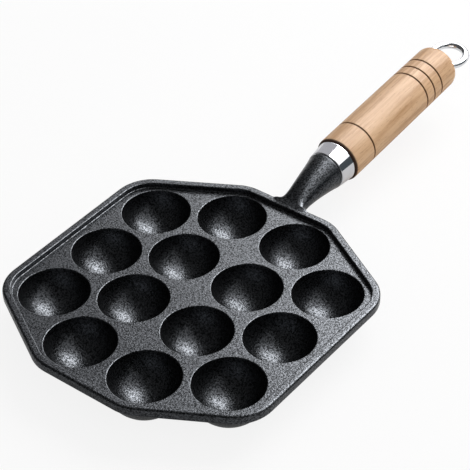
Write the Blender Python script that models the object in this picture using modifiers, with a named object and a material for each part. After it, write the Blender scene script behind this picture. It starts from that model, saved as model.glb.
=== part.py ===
"""Takoyaki pan: a cast iron plate with fourteen ball cups, a raised rim and a flared neck,
and a turned wooden grip with a plated ferrule, held to the neck by one long tie rod whose
rear end is an eye to hang the pan by.

World frame: +X from the pan towards the eye, +Z up, the pan standing on its cups.
The origin is on the table, under the middle of the whole object.
"""

import math

import bmesh
import bpy
from mathutils import Matrix, Vector

# Cups, in metres
CUP_RADIUS = 0.0200          # mouth radius, and depth, of the half ball
CUP_WALL = 0.0032            # iron between the inside of a cup and its dome
CUP_GAP = 0.00425            # plate left between neighbours in one row
CUP_ROW_GAP = 0.00514        # plate left between the two middle rows
CUP_STAGGER_GAP = 0.00493    # plate left between neighbours of a middle and an outer row
CUP_LIP = 0.00045            # chamfer round each mouth
CUP_BASE_WALL = 0.0020       # iron under the lowest point of a cup

# Plate and rim
PLATE_THICKNESS = 0.0030
RIM_HEIGHT = 0.0031          # above the plate
RIM_WIDTH = 0.00485
RIM_OUTER_ROUND = 0.00145
RIM_INNER_ROUND = 0.0007
RIM_ROOT_FILLET = 0.0006     # between the rim's inner wall and the plate
PLATE_BASE_ROUND = 0.0015    # lower outer edge of the plate
EDGE_MARGIN_END = 0.00735    # from the last mouth to the outer wall, at the two ends
EDGE_MARGIN_SIDE = 0.00925   # the same at the two long sides
EDGE_MARGIN_DIAGONAL = 0.00765
PLATE_CORNER_RADIUS = 0.02395

# Neck, cast with the plate
NECK_LENGTH = 0.03455        # from the rim's outer wall to the neck's end face
NECK_END_RADIUS = 0.0122
NECK_END_RISE = 0.00573      # of the handle's axis above the plate, at the end face
NECK_END_ROUND = 0.0008
NECK_ROOT_DEPTH = 0.00255    # how far the neck reaches into the rim
NECK_THREAD_DEPTH = 0.0220
HANDLE_SLOPE = math.radians(4.27)

# Tie rod and eye
ROD_RADIUS = 0.00225
ROD_THREAD_LENGTH = 0.0200   # inside the neck
EYE_MEAN_RADIUS = 0.01085
EYE_SINK = 0.00205           # how far the eye reaches into the grip's end

# Ferrule
FERRULE_LENGTH = 0.0107
FERRULE_FRONT_RADIUS = 0.01245
FERRULE_REAR_RADIUS = 0.01355
FERRULE_WALL = 0.0009
FERRULE_ROUND = 0.0008

# Grip
GRIP_LENGTH = 0.1120         # without its tenon
GRIP_FRONT_RADIUS = 0.0147
GRIP_REAR_RADIUS = 0.0144
GRIP_FRONT_ROUND_LENGTH = 0.0019
GRIP_REAR_ROUND = 0.0050
GROOVE_WIDTH = 0.0014
GROOVE_DEPTH = 0.0005
GROOVE_FRONT_PLACE = 0.0194  # front groove, behind the grip's shoulder
GROOVE_REAR_PLACE = 0.0185   # last groove, ahead of the grip's rear end
GROOVE_PITCH = 0.0082
REAR_GROOVES = 3
WASHER_RADIUS = 0.0070
WASHER_THICKNESS = 0.0012
POCKET_CLEARANCE = 0.0008    # round the washer, and round the eye as it turns

# Fits and facets
SEAT_GAP = 0.0003            # left between two pieces that touch
RUNNING_GAP = 0.0003         # left round the rod
OVERRUN = 0.0020             # how far a cutter or a blank passes what it meets
MERGE = 0.00001
CUP_SEGMENTS = 24
CUP_RINGS = 7
DOME_RINGS = 5
TURNED_SEGMENTS = 28
NECK_SEGMENTS = 24
CORNER_STEP = math.radians(10.0)
SMOOTH_ANGLE = math.radians(32.0)

# Neck sections from root to end: place along the neck, half width and half height as
# shares of the end radius, height of the centre as a share of the end's rise, and the
# squareness of the section's outline.
NECK_SECTION_SHARES = (
    (0.000, 0.941, 0.252, 0.013, 5.0),
    (0.072, 0.941, 0.316, 0.123, 4.0),
    (0.086, 0.791, 0.332, 0.132, 3.6),
    (0.101, 0.737, 0.348, 0.141, 3.3),
    (0.130, 0.676, 0.381, 0.159, 2.9),
    (0.175, 0.646, 0.429, 0.199, 2.6),
    (0.220, 0.649, 0.475, 0.256, 2.35),
    (0.265, 0.652, 0.520, 0.326, 2.2),
    (0.350, 0.676, 0.582, 0.450, 2.1),
    (0.480, 0.725, 0.669, 0.620, 2.05),
    (0.620, 0.785, 0.763, 0.754, 2.0),
    (0.760, 0.846, 0.852, 0.861, 2.0),
    (0.880, 0.908, 0.928, 0.937, 2.0),
    (0.950, 0.955, 0.969, 0.974, 2.0),
)

# Sizes that follow from those above
CUP_PITCH = 2 * CUP_RADIUS + CUP_GAP
MIDDLE_ROW_Y = CUP_RADIUS + CUP_ROW_GAP / 2
STAGGER_DISTANCE = 2 * CUP_RADIUS + CUP_STAGGER_GAP
OUTER_ROW_Y = MIDDLE_ROW_Y + math.sqrt(STAGGER_DISTANCE ** 2 - (CUP_PITCH / 2) ** 2)
DOME_RADIUS = CUP_RADIUS + CUP_WALL
BASE_DEPTH = CUP_RADIUS + CUP_BASE_WALL
HALF_LENGTH = 1.5 * CUP_PITCH + CUP_RADIUS + EDGE_MARGIN_END
HALF_WIDTH = OUTER_ROW_Y + CUP_RADIUS + EDGE_MARGIN_SIDE
DIAGONAL_ANGLE = math.atan2(CUP_PITCH / 2, OUTER_ROW_Y - MIDDLE_ROW_Y)
DIAGONAL_DISTANCE = (1.5 * CUP_PITCH * math.cos(DIAGONAL_ANGLE)
                     + MIDDLE_ROW_Y * math.sin(DIAGONAL_ANGLE)
                     + CUP_RADIUS + EDGE_MARGIN_DIAGONAL)
SOCKET_RADIUS = ROD_RADIUS + RUNNING_GAP
FERRULE_FRONT = SEAT_GAP
FERRULE_REAR = FERRULE_FRONT + FERRULE_LENGTH
GRIP_FRONT = FERRULE_REAR + SEAT_GAP
GRIP_REAR = GRIP_FRONT + GRIP_LENGTH
EYE_CENTRE = GRIP_REAR - EYE_SINK + EYE_MEAN_RADIUS + ROD_RADIUS
WASHER_REAR = GRIP_REAR - EYE_SINK - SEAT_GAP
POCKET_FLOOR = WASHER_REAR - WASHER_THICKNESS - SEAT_GAP
POCKET_RADIUS = WASHER_RADIUS + POCKET_CLEARANCE

# The handle starts at the centre of the neck's end face, in the pan's own frame.
HANDLE_START = Vector((HALF_LENGTH + NECK_LENGTH, 0, NECK_END_RISE))
HANDLE_AXIS = Vector((math.cos(HANDLE_SLOPE), 0, math.sin(HANDLE_SLOPE)))
REAR_REACH = (HANDLE_START.x + EYE_CENTRE * HANDLE_AXIS.x
              + EYE_MEAN_RADIUS * HANDLE_AXIS.x + ROD_RADIUS)
PAN_PLACE = Vector((-(REAR_REACH - HALF_LENGTH) / 2, 0, BASE_DEPTH))


def cup_places():
    """Centres of the mouths: two middle rows of four and two outer rows of three."""
    places = []
    for side in (1, -1):
        for step in (-1.5, -0.5, 0.5, 1.5):
            places.append((step * CUP_PITCH, side * MIDDLE_ROW_Y))
        for step in (-1, 0, 1):
            places.append((step * CUP_PITCH, side * OUTER_ROW_Y))
    return places


def start_scene():
    for leftover in list(bpy.data.objects):
        bpy.data.objects.remove(leftover, do_unlink=True)
    made = []
    for name in ("takoyaki_pan", "cutters"):
        collection = bpy.data.collections.new(name)
        bpy.context.scene.collection.children.link(collection)
        made.append(collection)
    return made


def material(name, colour, roughness, metallic):
    made = bpy.data.materials.new(name)
    made.use_nodes = True
    shader = made.node_tree.nodes["Principled BSDF"]
    shader.inputs["Base Color"].default_value = (*colour, 1)
    shader.inputs["Roughness"].default_value = roughness
    shader.inputs["Metallic"].default_value = metallic
    made.diffuse_color = (*colour, 1)
    return made


def add_object(name, mesh, collection, parent, place=(0, 0, 0)):
    made = bpy.data.objects.new(name, mesh)
    collection.objects.link(made)
    made.parent = parent
    made.location = place
    return made


def mesh_from(bm, name):
    bmesh.ops.recalc_face_normals(bm, faces=bm.faces)
    mesh = bpy.data.meshes.new(name)
    bm.to_mesh(mesh)
    bm.free()
    return mesh


def evaluated_mesh(made):
    """The mesh that an object has after its modifiers, with its faces pointing out."""
    bpy.context.view_layer.update()
    graph = bpy.context.evaluated_depsgraph_get()
    mesh = bpy.data.meshes.new_from_object(made.evaluated_get(graph))
    bm = bmesh.new()
    bm.from_mesh(mesh)
    bmesh.ops.recalc_face_normals(bm, faces=bm.faces)
    bm.to_mesh(mesh)
    bm.free()
    return mesh


def settle(made, skin):
    """Keep the result of the modifiers, shade it and give it its material."""
    mesh = evaluated_mesh(made)
    made.modifiers.clear()
    made.data = mesh
    mesh.materials.clear()
    mesh.materials.append(skin)
    mesh.shade_smooth()
    mesh.set_sharp_from_angle(angle=SMOOTH_ANGLE)
    return made


def hide_cutter(made):
    made.hide_render = True
    made.display_type = 'WIRE'
    return made


def turned(name, profile, collection, parent, closed=False, segments=TURNED_SEGMENTS):
    """A solid turned about its own Z from (radius, height) points, down the outer side."""
    bm = bmesh.new()
    points = [bm.verts.new((radius, 0, height)) for radius, height in profile]
    for first, second in zip(points, points[1:]):
        bm.edges.new((first, second))
    if closed:
        bm.edges.new((points[-1], points[0]))
    mesh = bpy.data.meshes.new(name)
    bm.to_mesh(mesh)
    bm.free()
    made = add_object(name, mesh, collection, parent)
    screw = made.modifiers.new("turn", 'SCREW')
    screw.steps = segments
    screw.render_steps = segments
    screw.use_merge_vertices = True
    screw.merge_threshold = MERGE
    return made


def boolean(made, operation, other=None, collection=None):
    cut = made.modifiers.new(operation.lower(), 'BOOLEAN')
    cut.operation = operation
    if collection is None:
        cut.object = other
    else:
        cut.operand_type = 'COLLECTION'
        cut.collection = collection


def arc(centre_radius, centre_height, radius, start, end, steps):
    """Points of an arc in the (radius, height) plane, angles from the outward direction."""
    points = []
    for step in range(steps + 1):
        angle = start + (end - start) * step / steps
        points.append((centre_radius + radius * math.cos(angle),
                       centre_height + radius * math.sin(angle)))
    return points


def plate_outline():
    """The eight-sided outline with rounded corners, anticlockwise, from the +X side round."""
    quarter = [(0, HALF_LENGTH), (DIAGONAL_ANGLE, DIAGONAL_DISTANCE)]
    sides = []
    for angle, distance in quarter + [(math.pi / 2, HALF_WIDTH)]:
        sides.append((angle, distance))
    for angle, distance in quarter[::-1]:
        sides.append((math.pi - angle, distance))
    sides.append((math.pi + DIAGONAL_ANGLE, DIAGONAL_DISTANCE))
    sides.append((1.5 * math.pi, HALF_WIDTH))
    sides.append((2 * math.pi - DIAGONAL_ANGLE, DIAGONAL_DISTANCE))
    points = []
    for index, (first, first_distance) in enumerate(sides):
        second, second_distance = sides[(index + 1) % len(sides)]
        if index == len(sides) - 1:
            second += 2 * math.pi
        lines = Matrix(((math.cos(first), math.sin(first)),
                        (math.cos(second), math.sin(second))))
        centre = lines.inverted() @ Vector((first_distance - PLATE_CORNER_RADIUS,
                                            second_distance - PLATE_CORNER_RADIUS))
        steps = max(2, round((second - first) / CORNER_STEP))
        for step in range(steps + 1):
            angle = first + (second - first) * step / steps
            points.append((centre.x + PLATE_CORNER_RADIUS * math.cos(angle),
                           centre.y + PLATE_CORNER_RADIUS * math.sin(angle)))
    return points


def rim_section():
    """Points over the rim, as (distance in from the outer wall, height above the plate)."""
    points = arc(RIM_OUTER_ROUND, RIM_HEIGHT - RIM_OUTER_ROUND, RIM_OUTER_ROUND,
                 math.pi, math.pi / 2, 3)
    points += arc(RIM_WIDTH - RIM_INNER_ROUND, RIM_HEIGHT - RIM_INNER_ROUND, RIM_INNER_ROUND,
                  math.pi / 2, 0, 2)
    points += arc(RIM_WIDTH + RIM_ROOT_FILLET, RIM_ROOT_FILLET, RIM_ROOT_FILLET,
                  math.pi, 1.5 * math.pi, 2)
    return points


def base_section():
    """Points round the plate's lower edge, in the same terms."""
    return arc(PLATE_BASE_ROUND, PLATE_BASE_ROUND - PLATE_THICKNESS, PLATE_BASE_ROUND,
               math.pi, 1.5 * math.pi, 3)


def inset_along(bm, face, section):
    """Draw a level face in and up or down along a section, leaving a band at each step."""
    for (last_in, last_height), (inward, height) in zip(section, section[1:]):
        bmesh.ops.inset_region(bm, faces=[face], thickness=inward - last_in,
                               use_even_offset=True, use_boundary=True)
        bmesh.ops.translate(bm, vec=Vector((0, 0, height - last_height)), verts=face.verts)


def plate_with_rim(collection, parent):
    """The outline raised as a wall, then inset over the rim above and its lower edge below."""
    over, under = rim_section(), base_section()
    bm = bmesh.new()
    base = bm.faces.new([bm.verts.new((x, y, under[0][1])) for x, y in plate_outline()])
    raised = bmesh.ops.extrude_face_region(bm, geom=[base])["geom"]
    bmesh.ops.translate(bm, vec=Vector((0, 0, over[0][1] - under[0][1])),
                        verts=[v for v in raised if isinstance(v, bmesh.types.BMVert)])
    top = [face for face in raised if isinstance(face, bmesh.types.BMFace)][0]
    bmesh.ops.recalc_face_normals(bm, faces=bm.faces)
    inset_along(bm, top, over)
    inset_along(bm, base, under)
    return add_object("pan_casting", mesh_from(bm, "pan_casting"), collection, parent)


def dome_mesh(cutters, parent):
    """Outside of one cup: part of a ball with a small flat to stand on, ended in the plate."""
    start = -math.asin(PLATE_THICKNESS / DOME_RADIUS)
    end = -math.asin(BASE_DEPTH / DOME_RADIUS)
    profile = [(0, -PLATE_THICKNESS + OVERRUN)]
    curve = arc(0, 0, DOME_RADIUS, start, end, DOME_RINGS)
    profile.append((curve[0][0], -PLATE_THICKNESS + OVERRUN))
    profile += curve
    profile.append((0, -BASE_DEPTH))
    blank = turned("dome_profile", profile, cutters, parent, segments=CUP_SEGMENTS)
    mesh = evaluated_mesh(blank)
    bpy.data.objects.remove(blank, do_unlink=True)
    return mesh


def cup_mesh(cutters, parent):
    """Inside of one cup: a half ball, and a lip chamfer that runs on above the plate."""
    flare = CUP_RADIUS + 2 * CUP_LIP
    profile = [(0, OVERRUN), (flare, OVERRUN), (flare, CUP_LIP)]
    start = -math.asin(CUP_LIP / CUP_RADIUS)
    profile += arc(0, 0, CUP_RADIUS, start, -math.pi / 2, CUP_RINGS)[:-1]
    profile.append((0, -CUP_RADIUS))
    blank = turned("cup_profile", profile, cutters, parent, segments=CUP_SEGMENTS)
    mesh = evaluated_mesh(blank)
    bpy.data.objects.remove(blank, do_unlink=True)
    return mesh


def at_cups(name, mesh, cutters, parent):
    """One blank at each cup, in a collection of its own."""
    group = bpy.data.collections.new(name)
    cutters.children.link(group)
    for number, (x, y) in enumerate(cup_places(), start=1):
        hide_cutter(add_object(f"{name}_{number:02d}", mesh, group, parent, (x, y, 0)))
    return group


def neck_section(centre, tilt, half_width, half_height, squareness):
    """One closed section, square to a line that climbs at the tilt angle."""
    upward = Vector((-math.sin(tilt), 0, math.cos(tilt)))
    points = []
    for step in range(NECK_SEGMENTS):
        angle = 2 * math.pi * step / NECK_SEGMENTS
        across, up = math.cos(angle), math.sin(angle)
        across = math.copysign(abs(across) ** (2 / squareness), across)
        up = math.copysign(abs(up) ** (2 / squareness), up)
        points.append(centre + Vector((0, half_width * across, 0)) + upward * (half_height * up))
    return points


def neck(cutters, parent):
    """A loft from a wide low root inside the rim to the round end that meets the ferrule."""
    root_x = HALF_LENGTH - NECK_ROOT_DEPTH
    end = HANDLE_START - HANDLE_AXIS * NECK_END_ROUND
    sections = []
    for place, width, height, rise, squareness in NECK_SECTION_SHARES:
        centre = Vector((root_x + (end.x - root_x) * place, 0, end.z * rise))
        sections.append(neck_section(centre, HANDLE_SLOPE * place, NECK_END_RADIUS * width,
                                     NECK_END_RADIUS * height, squareness))
    for angle in (0, math.pi / 6, math.pi / 3, math.pi / 2):
        radius = NECK_END_RADIUS - NECK_END_ROUND * (1 - math.cos(angle))
        centre = end + HANDLE_AXIS * (NECK_END_ROUND * math.sin(angle))
        sections.append(neck_section(centre, HANDLE_SLOPE, radius, radius, 2.0))
    bm = bmesh.new()
    rows = [[bm.verts.new(point) for point in section] for section in sections]
    for low, high in zip(rows, rows[1:]):
        for index in range(NECK_SEGMENTS):
            after = (index + 1) % NECK_SEGMENTS
            bm.faces.new((low[index], low[after], high[after], high[index]))
    bm.faces.new(rows[0])
    bm.faces.new(rows[-1])
    return hide_cutter(add_object("neck_blank", mesh_from(bm, "neck_blank"), cutters, parent))


def rod_along_handle(name, radius, start, end, collection, parent):
    """A round bar on the handle's axis, between two distances along it."""
    bm = bmesh.new()
    bmesh.ops.create_cone(bm, cap_ends=True, segments=16, radius1=radius, radius2=radius,
                          depth=end - start)
    bmesh.ops.translate(bm, vec=Vector((0, 0, (start + end) / 2)), verts=bm.verts)
    return add_object(name, mesh_from(bm, name), collection, parent)


def build_pan(parts, cutters, pan_frame, handle_frame, iron):
    pan = plate_with_rim(parts, pan_frame)
    domes = at_cups("dome_blank", dome_mesh(cutters, pan_frame), cutters, pan_frame)
    cups = at_cups("cup_cutter", cup_mesh(cutters, pan_frame), cutters, pan_frame)
    socket = hide_cutter(rod_along_handle("socket_cutter", SOCKET_RADIUS, -NECK_THREAD_DEPTH,
                                          OVERRUN, cutters, handle_frame))
    boolean(pan, 'UNION', other=neck(cutters, pan_frame))
    boolean(pan, 'UNION', collection=domes)
    boolean(pan, 'DIFFERENCE', collection=cups)
    boolean(pan, 'DIFFERENCE', other=socket)
    return settle(pan, iron)


def build_ferrule(parts, handle_frame, plated):
    """A tapered cap with a closed front, bored for the rod, that holds the grip's tenon."""
    inner_front = FERRULE_FRONT_RADIUS - FERRULE_WALL
    inner_rear = FERRULE_REAR_RADIUS - FERRULE_WALL
    front_edge = arc(FERRULE_FRONT_RADIUS - FERRULE_ROUND, FERRULE_FRONT + FERRULE_ROUND,
                     FERRULE_ROUND, 0, -math.pi / 2, 3)
    profile = [(FERRULE_REAR_RADIUS, FERRULE_REAR)] + front_edge
    profile += [(SOCKET_RADIUS, FERRULE_FRONT), (SOCKET_RADIUS, FERRULE_FRONT + FERRULE_WALL),
                (inner_front, FERRULE_FRONT + FERRULE_WALL), (inner_rear, FERRULE_REAR)]
    return settle(turned("ferrule", profile, parts, handle_frame, closed=True), plated)


def grip_radius(place):
    """Outer radius of the grip, a little slimmer towards its rear."""
    share = (place - GRIP_FRONT) / GRIP_LENGTH
    return GRIP_FRONT_RADIUS + (GRIP_REAR_RADIUS - GRIP_FRONT_RADIUS) * share ** 2


def groove_places():
    places = [GRIP_FRONT + GROOVE_FRONT_PLACE]
    for index in range(REAR_GROOVES):
        places.append(GRIP_REAR - GROOVE_REAR_PLACE - index * GROOVE_PITCH)
    return sorted(places, reverse=True)


def build_grip(parts, handle_frame, wood):
    """Turned from the rear end forward: rounded end, grooves, shoulder, tenon, then the bore."""
    end_radius = grip_radius(GRIP_REAR)
    profile = [(POCKET_RADIUS, GRIP_REAR)]
    profile += arc(end_radius - GRIP_REAR_ROUND, GRIP_REAR - GRIP_REAR_ROUND, GRIP_REAR_ROUND,
                   math.pi / 2, 0, 5)
    for place in groove_places():
        radius = grip_radius(place)
        half = GROOVE_WIDTH / 2
        profile += [(radius, place + half), (radius - GROOVE_DEPTH, place + half / 2),
                    (radius - GROOVE_DEPTH, place - half / 2), (radius, place - half)]
    round_depth = GRIP_FRONT_RADIUS - FERRULE_REAR_RADIUS
    for angle in (0, math.pi / 6, math.pi / 3, math.pi / 2):
        profile.append((GRIP_FRONT_RADIUS - round_depth * (1 - math.cos(angle)),
                        GRIP_FRONT + GRIP_FRONT_ROUND_LENGTH * (1 - math.sin(angle))))
    shrink = FERRULE_WALL + SEAT_GAP
    tenon_front = FERRULE_FRONT + FERRULE_WALL + SEAT_GAP
    profile += [(FERRULE_REAR_RADIUS - shrink, GRIP_FRONT),
                (FERRULE_FRONT_RADIUS - shrink, tenon_front),
                (SOCKET_RADIUS, tenon_front), (SOCKET_RADIUS, POCKET_FLOOR),
                (POCKET_RADIUS, POCKET_FLOOR)]
    return settle(turned("wooden_grip", profile, parts, handle_frame, closed=True), wood)


def build_washer(parts, handle_frame, plated):
    front = WASHER_REAR - WASHER_THICKNESS
    profile = [(WASHER_RADIUS, WASHER_REAR), (WASHER_RADIUS, front), (SOCKET_RADIUS, front),
               (SOCKET_RADIUS, WASHER_REAR)]
    return settle(turned("eye_washer", profile, parts, handle_frame, closed=True), plated)


def build_tie_rod(parts, cutters, handle_frame, plated):
    """A straight rod with a closed ring at its rear end, level when the pan stands."""
    rod = rod_along_handle("tie_rod_eye", ROD_RADIUS, -ROD_THREAD_LENGTH,
                           EYE_CENTRE - EYE_MEAN_RADIUS, parts, handle_frame)
    bpy.ops.mesh.primitive_torus_add(major_radius=EYE_MEAN_RADIUS, minor_radius=ROD_RADIUS,
                                     major_segments=32, minor_segments=10)
    ring = bpy.context.object
    ring.name = "eye_ring_blank"
    for owner in list(ring.users_collection):
        owner.objects.unlink(ring)
    cutters.objects.link(ring)
    ring.parent = handle_frame
    ring.location = (0, 0, EYE_CENTRE)
    ring.rotation_euler = (0, math.pi / 2, 0)
    hide_cutter(ring)
    boolean(rod, 'UNION', other=ring)
    return settle(rod, plated)


def build():
    parts, cutters = start_scene()
    pan_frame = bpy.data.objects.new("pan_frame", None)
    parts.objects.link(pan_frame)
    pan_frame.location = PAN_PLACE
    handle_frame = bpy.data.objects.new("handle_axis", None)
    parts.objects.link(handle_frame)
    handle_frame.parent = pan_frame
    handle_frame.location = HANDLE_START
    handle_frame.rotation_euler = (0, math.pi / 2 - HANDLE_SLOPE, 0)

    iron = material("cast iron", (0.055, 0.058, 0.062), 0.52, 0.65)
    plated = material("bright plating", (0.82, 0.82, 0.84), 0.06, 1.0)
    steel = material("plated steel", (0.78, 0.78, 0.80), 0.14, 1.0)
    wood = material("beech", (0.66, 0.43, 0.25), 0.48, 0.0)

    build_pan(parts, cutters, pan_frame, handle_frame, iron)
    build_ferrule(parts, handle_frame, plated)
    build_grip(parts, handle_frame, wood)
    build_washer(parts, handle_frame, steel)
    build_tie_rod(parts, cutters, handle_frame, plated)
    bpy.context.view_layer.update()
    for made in parts.objects:
        if made.type == 'MESH':
            print(made.name, len(made.data.polygons), "faces")


build()
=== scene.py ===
# %% [markdown]
# A cast iron pan for ball dumplings, with a turned wooden grip.
#
# The real object is one sand casting with fourteen half-ball cups, a raised rim and a
# flared neck. A plated ferrule and a beech grip are pulled against the neck by one long
# tie rod, whose rear end is an eye to hang the pan by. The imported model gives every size
# and the two moving bodies. This script dresses it: each piece is made again with fine
# curves and gets a procedural finish, and it rides on the body that the CAD piece rides on.

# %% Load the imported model
import math

import bmesh
import bpy
import numpy as np
from mathutils import Matrix, Vector


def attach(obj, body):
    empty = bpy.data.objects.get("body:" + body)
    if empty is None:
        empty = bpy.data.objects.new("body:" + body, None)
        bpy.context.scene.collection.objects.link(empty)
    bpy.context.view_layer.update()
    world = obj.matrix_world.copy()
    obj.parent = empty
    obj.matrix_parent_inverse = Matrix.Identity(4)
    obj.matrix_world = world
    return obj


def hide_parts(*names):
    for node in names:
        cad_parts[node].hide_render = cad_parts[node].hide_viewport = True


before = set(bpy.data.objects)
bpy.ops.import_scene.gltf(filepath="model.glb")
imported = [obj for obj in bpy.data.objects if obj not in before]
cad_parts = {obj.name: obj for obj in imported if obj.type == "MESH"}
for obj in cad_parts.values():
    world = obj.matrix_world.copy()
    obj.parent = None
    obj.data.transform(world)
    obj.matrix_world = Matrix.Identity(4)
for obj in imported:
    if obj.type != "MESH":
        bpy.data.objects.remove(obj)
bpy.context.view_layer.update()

# %% [markdown]
# Camera first. It stands where the photograph was taken from: in front of the pan's far
# end, to the right of the handle, looking down at about forty degrees through a long
# lens. A camera is a place, three axes and a lens, so the three are written as numbers
# and put together as one matrix.

# %% Camera
IMAGE_WIDTH = 470
FOCAL_PIXELS = 1792.67
SENSOR_WIDTH = 36.0
CAMERA_PLACE = Vector((-0.657033, -0.491923, 0.674084))
CAMERA_RIGHT = Vector((0.61358937, -0.78923684, -0.02476485))
CAMERA_UP = Vector((0.51118837, 0.37312699, 0.77424977))

camera_data = bpy.data.cameras.new("camera")
camera_data.sensor_width = SENSOR_WIDTH
camera_data.lens = FOCAL_PIXELS * SENSOR_WIDTH / IMAGE_WIDTH
camera_data.clip_start, camera_data.clip_end = 0.05, 50.0
camera = bpy.data.objects.new("camera", camera_data)
bpy.context.scene.collection.objects.link(camera)
back = CAMERA_RIGHT.cross(CAMERA_UP)
camera.matrix_world = (Matrix.Translation(CAMERA_PLACE)
                       @ Matrix((CAMERA_RIGHT, CAMERA_UP, back)).transposed().to_4x4())
bpy.context.scene.camera = camera
print("lens in mm:", round(camera_data.lens, 2))

# %% [markdown]
# The sizes below are those of the CAD model, in metres. The pan has its own frame: its
# origin is the middle of the plate's top. The handle has an axis that starts at the
# centre of the neck's end face and climbs a little, and every turned piece is placed by
# its distance along that axis.

# %% Sizes and places
CUP_RADIUS = 0.0200
CUP_WALL = 0.0032
CUP_PITCH = 0.04425
MIDDLE_ROW = 0.02257
STAGGER = 0.04493
OUTER_ROW = MIDDLE_ROW + math.sqrt(STAGGER ** 2 - (CUP_PITCH / 2) ** 2)
DOME_RADIUS = CUP_RADIUS + CUP_WALL
BASE_DEPTH = 0.0220
PLATE_THICKNESS = 0.0030
RIM_HEIGHT = 0.0031
RIM_WIDTH = 0.00485
HALF_LENGTH = 1.5 * CUP_PITCH + CUP_RADIUS + 0.00735
HALF_WIDTH = OUTER_ROW + CUP_RADIUS + 0.00925
DIAGONAL_ANGLE = math.atan2(CUP_PITCH / 2, OUTER_ROW - MIDDLE_ROW)
DIAGONAL_DISTANCE = (1.5 * CUP_PITCH * math.cos(DIAGONAL_ANGLE)
                     + MIDDLE_ROW * math.sin(DIAGONAL_ANGLE) + CUP_RADIUS + 0.00765)
CORNER_RADIUS = 0.02395

HANDLE_SLOPE = math.radians(4.27)
HANDLE_AXIS = Vector((math.cos(HANDLE_SLOPE), 0, math.sin(HANDLE_SLOPE)))
NECK_LENGTH = 0.03455
NECK_END_RADIUS = 0.0122
NECK_END_RISE = 0.00573
PAN_PLACE = Vector((-0.0907985, 0, BASE_DEPTH))
HANDLE_START = PAN_PLACE + Vector((HALF_LENGTH + NECK_LENGTH, 0, NECK_END_RISE))
HANDLE_FRAME = Matrix.Translation(HANDLE_START) @ Matrix.Rotation(
    math.pi / 2 - HANDLE_SLOPE, 4, 'Y')
print("pan centre:", PAN_PLACE, "handle start:", HANDLE_START)

# %% [markdown]
# Shader graphs are easier to read as sums. The class below wraps one socket of a node
# tree. Arithmetic on it adds Math nodes, and its one other method, node, adds a node of
# any type from its settings and from the values or links of its sockets.


# %% Arithmetic on sockets
class Wire:
    """One output socket of a node tree, or the bare tree to start from."""

    def __init__(self, tree, socket=None):
        self.tree, self.socket = tree, socket

    def node(self, kind, settings=None, sockets=None, output=0):
        made = self.tree.nodes.new(kind)
        for name, value in (settings or {}).items():
            if name == "stops":
                stops = made.color_ramp.elements
                while len(stops) < len(value):
                    stops.new(1.0)
                for stop, (place, colour) in zip(stops, value):
                    stop.position, stop.color = place, (*colour, 1)
            else:
                setattr(made, name, value)
        for name, value in (sockets or {}).items():
            if isinstance(value, Wire):
                self.tree.links.new(value.socket, made.inputs[name])
            else:
                made.inputs[name].default_value = value
        return Wire(self.tree, made.outputs[output])

    def math(self, operation, *values, clamp=False):
        return self.node("ShaderNodeMath", {"operation": operation, "use_clamp": clamp},
                         dict(enumerate(values)))

    def __add__(self, other):
        return self.math('ADD', self, other)

    def __sub__(self, other):
        return self.math('SUBTRACT', self, other)

    def __mul__(self, other):
        return self.math('MULTIPLY', self, other)

    def __truediv__(self, other):
        return self.math('DIVIDE', self, other)

    def __radd__(self, other):
        return self.math('ADD', other, self)

    def __rsub__(self, other):
        return self.math('SUBTRACT', other, self)

    def __rmul__(self, other):
        return self.math('MULTIPLY', other, self)

    def __rtruediv__(self, other):
        return self.math('DIVIDE', other, self)

    def between(self, low, high):
        """0 at low and 1 at high, with soft ends."""
        return self.node("ShaderNodeMapRange", {"interpolation_type": 'SMOOTHSTEP'},
                         {"Value": self, "From Min": low, "From Max": high})

    def mix(self, first, second):
        """From the first colour to the second as this value goes from 0 to 1."""
        made = self.tree.nodes.new("ShaderNodeMix")
        made.data_type = 'RGBA'
        self.tree.links.new(self.socket, made.inputs[0])
        for socket, colour in ((made.inputs[6], first), (made.inputs[7], second)):
            if isinstance(colour, Wire):
                self.tree.links.new(colour.socket, socket)
            else:
                socket.default_value = (*colour, 1)
        return Wire(self.tree, made.outputs[2])


def finish_named(name, **constants):
    """A new material: its shader with the constants set, and a wire to build from."""
    made = bpy.data.materials.new(name)
    made.use_nodes = True
    shader = made.node_tree.nodes["Principled BSDF"]
    for socket, value in constants.items():
        shader.inputs[socket.replace("_", " ")].default_value = value
    return made, shader, Wire(made.node_tree)


def feed(shader, **wires):
    for socket, wire in wires.items():
        wire.tree.links.new(wire.socket, shader.inputs[socket.replace("_", " ")])


# %% [markdown]
# Cast iron. The pan is poured in a sand mould and then seasoned, so it is nearly black,
# and its skin keeps the print of the sand: grains about a millimetre across. The grains
# are a bump made of two noises, and the same noise colours the skin: the hollows hold more
# seasoning and are darker, and the crests are brighter. The pattern reads Object
# coordinates, so it goes through the casting like the grain of the sand and has no seams.
# They are turned a little, so that no plane of the noise's lattice lies in the plate.

# %% Seasoned cast iron
SAND_SCALE = 1000.0
SAND_FINE_SCALE = 2000.0
CLOUD_SCALE = 28.0
SAND_HEIGHT = 0.00014
SAND_TURN = (0.5, 0.35, 0.2)

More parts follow.
